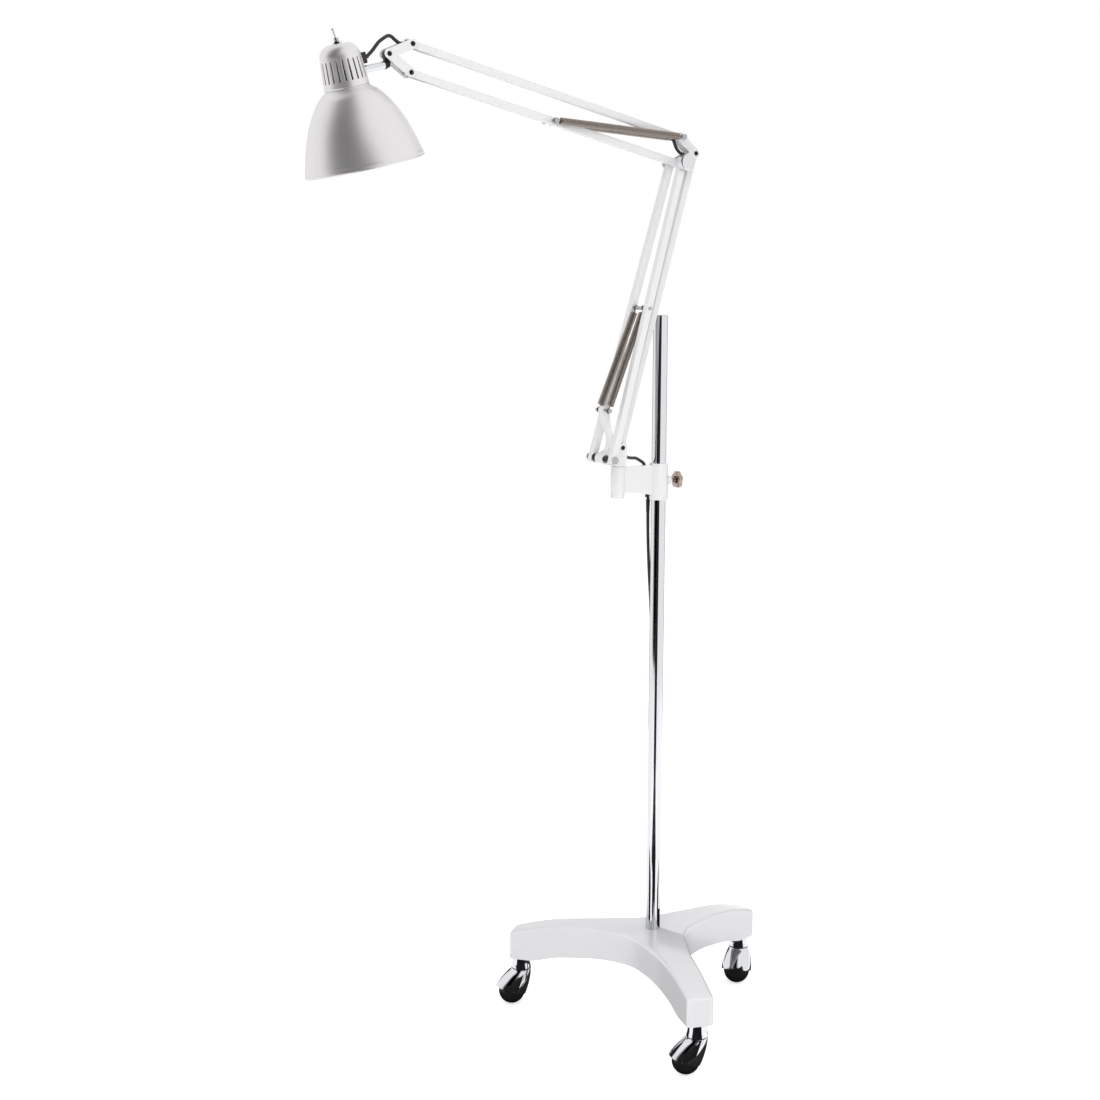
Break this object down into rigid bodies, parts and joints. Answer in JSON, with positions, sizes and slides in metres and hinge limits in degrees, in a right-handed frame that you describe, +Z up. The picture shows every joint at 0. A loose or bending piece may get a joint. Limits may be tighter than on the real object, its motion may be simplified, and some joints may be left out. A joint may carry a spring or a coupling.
{
  "type": "adjustable arm floor lamp",
  "caption": "Floor lamp with a spring arm of two parallelograms on a sliding bracket, a round column, a cast base on ball casters and a bell shade.",
  "frame": {"origin": "on the floor under the column, on the column's axis", "axes": "+Z up along the column; the arm moves in a plane parallel to XZ and the head lies towards -X"},
  "size_m": [0.918, 0.5487, 1.7017],
  "materials": {
    "base_enamel": "gloss enamel",
    "arm_enamel": "gloss enamel",
    "shade_enamel": "satin enamel on spun sheet",
    "chrome": "polished plating",
    "spring_steel": "plated wire",
    "bright_steel": "zinc plated",
    "dark_steel": "black oxide",
    "ball_rubber": "smooth hard rubber",
    "black_plastic": "moulded",
    "cord_sheath": "smooth sheath",
    "bulb_glass": "opal glass",
    "brass": "bright"
  },
  "bodies": {
    "stand": {"base_casting": "base_enamel", "column_tube": "chrome", "column_plug": "black_plastic", "column_insert": "bright_steel", "base_bolt": "bright_steel", "base_washer": "bright_steel", "caster_stems": "bright_steel", "caster_collars": "chrome", "mains_cord": "cord_sheath", "cord_coil": "cord_sheath", "mains_plug": "black_plastic", "plug_pins": "brass"},
    "caster_right": {"caster_hood_right": "chrome"},
    "ball_right": {"caster_ball_right": "ball_rubber"},
    "caster_left": {"caster_hood_left": "chrome"},
    "ball_left": {"caster_ball_left": "ball_rubber"},
    "caster_front": {"caster_hood_front": "chrome"},
    "ball_front": {"caster_ball_front": "ball_rubber"},
    "bracket": {"bracket_casting": "arm_enamel", "clamp_pad": "black_plastic", "cord_clip": "black_plastic"},
    "clamp_knob": {"clamp_screw": "chrome"},
    "foot": {"foot_casting": "arm_enamel", "foot_spigot": "bright_steel", "spigot_screw": "bright_steel", "base_pin": "bright_steel", "pin_spacers": "dark_steel", "anchor_rod": "bright_steel", "link_foot_studs": "dark_steel", "lead_foot": "cord_sheath", "lower_springs": "spring_steel"},
    "lower_arm": {"lower_bars": "arm_enamel", "spring_rod": "bright_steel"},
    "lower_link": {"lower_link": "arm_enamel", "lead_lower": "cord_sheath"},
    "elbow": {"elbow_plates": "arm_enamel", "elbow_bolt": "bright_steel", "spring_posts": "bright_steel", "link_elbow_studs": "dark_steel", "lead_elbow": "cord_sheath", "upper_springs": "spring_steel"},
    "elbow_knob": {"elbow_knob": "chrome"},
    "upper_arm": {"upper_bar": "arm_enamel", "spring_bolt": "bright_steel"},
    "top_bar": {"top_bar": "arm_enamel", "lead_upper": "cord_sheath"},
    "head_bracket": {"head_plates": "arm_enamel", "bracket_screws": "dark_steel", "lead_bracket": "cord_sheath"},
    "knuckle": {"knuckle": "dark_steel", "lead_neck": "cord_sheath"},
    "head": {"shade_bell": "shade_enamel", "socket_cap": "shade_enamel", "head_rod": "chrome", "lamp_holder": "black_plastic", "bulb_glass": "bulb_glass", "bulb_base": "brass", "toggle_switch": "chrome", "cord_gland": "black_plastic"},
    "toggle": {"toggle_lever": "chrome"}
  },
  "joints": [
    {"name": "bracket_slide", "type": "slide", "parent": "stand", "child": "bracket", "axis": [0, 0, 1], "range_m": [0, 0.2], "deforming": ["mains_cord"]},
    {"name": "clamp_knob_turn", "type": "hinge", "parent": "bracket", "child": "clamp_knob", "pos_m": [0, 0, 0.98], "axis": [0.9848, -0.1736, 0], "range_deg": [-180, 180]},
    {"name": "foot_swing", "type": "hinge", "parent": "bracket", "child": "foot", "pos_m": [-0.09078, -0.00635, 1.0115], "axis": [0, 0, 1], "range_deg": [-120, 120], "deforming": ["lead_foot"]},
    {"name": "lower_arm_lean", "type": "hinge", "parent": "foot", "child": "lower_arm", "pos_m": [-0.12278, -0.00635, 1.026], "axis": [0, 1, 0], "range_deg": [-27, 0.5], "deforming": ["lower_springs"]},
    {"name": "lower_link_lean", "type": "hinge", "parent": "foot", "child": "lower_link", "pos_m": [-0.08728, -0.00635, 1.043], "axis": [0, 1, 0], "range_deg": [-27.5, 1], "deforming": ["lead_foot", "lead_lower"]},
    {"name": "elbow_level", "type": "hinge", "parent": "lower_arm", "child": "elbow", "pos_m": [0.02277, -0.00635, 1.52053], "axis": [0, 1, 0], "range_deg": [-1, 27.5], "deforming": ["lead_elbow"]},
    {"name": "elbow_knob_turn", "type": "hinge", "parent": "elbow", "child": "elbow_knob", "pos_m": [0.02277, -0.03435, 1.52053], "axis": [0, -1, 0], "range_deg": [-180, 180]},
    {"name": "upper_arm_lift", "type": "hinge", "parent": "elbow", "child": "upper_arm", "pos_m": [0.02277, -0.00635, 1.52053], "axis": [0, 1, 0], "range_deg": [-45, 30], "deforming": ["upper_springs"]},
    {"name": "top_bar_lift", "type": "hinge", "parent": "elbow", "child": "top_bar", "pos_m": [0.02577, -0.00635, 1.56353], "axis": [0, 1, 0], "range_deg": [-45.5, 30.5], "deforming": ["lead_elbow", "lead_upper"]},
    {"name": "head_level", "type": "hinge", "parent": "upper_arm", "child": "head_bracket", "pos_m": [-0.4888, -0.00635, 1.64287], "axis": [0, 1, 0], "range_deg": [-30.5, 45.5], "deforming": ["lead_bracket"]},
    {"name": "head_tilt", "type": "hinge", "parent": "head_bracket", "child": "knuckle", "pos_m": [-0.52631, -0.00635, 1.66887], "axis": [0, 1, 0], "range_deg": [-20, 75], "deforming": ["lead_neck"]},
    {"name": "head_swivel", "type": "hinge", "parent": "knuckle", "child": "head", "pos_m": [-0.55033, -0.00635, 1.64742], "axis": [0.9703, 0, 0.2419], "range_deg": [-90, 90], "deforming": ["lead_neck"]},
    {"name": "toggle_flip", "type": "hinge", "parent": "head", "child": "toggle", "pos_m": [-0.61133, -0.00635, 1.68539], "axis": [0, 1, 0], "range_deg": [0, 18]},
    {"name": "caster_right_swivel", "type": "hinge", "parent": "stand", "child": "caster_right", "pos_m": [0.24133, 0.05262, 0.055], "axis": [0, 0, 1], "continuous": true},
    {"name": "ball_right_roll", "type": "hinge", "parent": "caster_right", "child": "ball_right", "pos_m": [0.22647, 0.03924, 0.024], "axis": [0.2296, 0.2068, 0.9511], "continuous": true},
    {"name": "caster_left_swivel", "type": "hinge", "parent": "stand", "child": "caster_left", "pos_m": [-0.16623, 0.18269, 0.055], "axis": [0, 0, 1], "continuous": true},
    {"name": "ball_left_roll", "type": "hinge", "parent": "caster_left", "child": "ball_left", "pos_m": [-0.18621, 0.18374, 0.024], "axis": [0.3086, -0.0162, 0.9511], "continuous": true},
    {"name": "caster_front_swivel", "type": "hinge", "parent": "stand", "child": "caster_front", "pos_m": [-0.0751, -0.23531, 0.055], "axis": [0, 0, 1], "continuous": true},
    {"name": "ball_front_roll", "type": "hinge", "parent": "caster_front", "child": "ball_front", "pos_m": [-0.09417, -0.22929, 0.024], "axis": [0.2947, -0.0929, 0.9511], "continuous": true}
  ],
  "couplings": [
    {"joint": "lower_link_lean", "follows": "lower_arm_lean", "ratio": 1},
    {"joint": "elbow_level", "follows": "lower_arm_lean", "ratio": -1},
    {"joint": "top_bar_lift", "follows": "upper_arm_lift", "ratio": 1},
    {"joint": "head_level", "follows": "upper_arm_lift", "ratio": -1}
  ]
}
